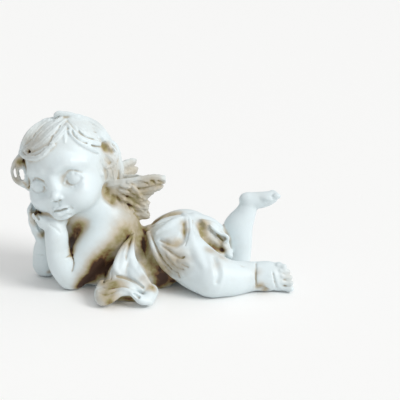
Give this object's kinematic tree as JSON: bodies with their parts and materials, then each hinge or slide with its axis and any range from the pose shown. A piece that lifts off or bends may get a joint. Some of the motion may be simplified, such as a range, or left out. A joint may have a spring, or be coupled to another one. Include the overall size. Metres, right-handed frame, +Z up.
{
  "type": "reclining cherub figurine",
  "caption": "Small stone-effect cherub lying on its front, chin on hands, one foot raised, with short wings and gathered drapery.",
  "frame": {"origin": "middle of the figure's outline box, on the ground it rests on", "axes": "+X from the head to the feet, +Y to the figure's right side, +Z up"},
  "size_m": [0.1276, 0.0624, 0.0797],
  "materials": {
    "cast_stone": "off-white cast stone resin, satin, with a beige and brown antiquing wash in the hollows"
  },
  "bodies": {
    "root": {"cherub_figure": "cast_stone"}
  },
  "joints": []
}
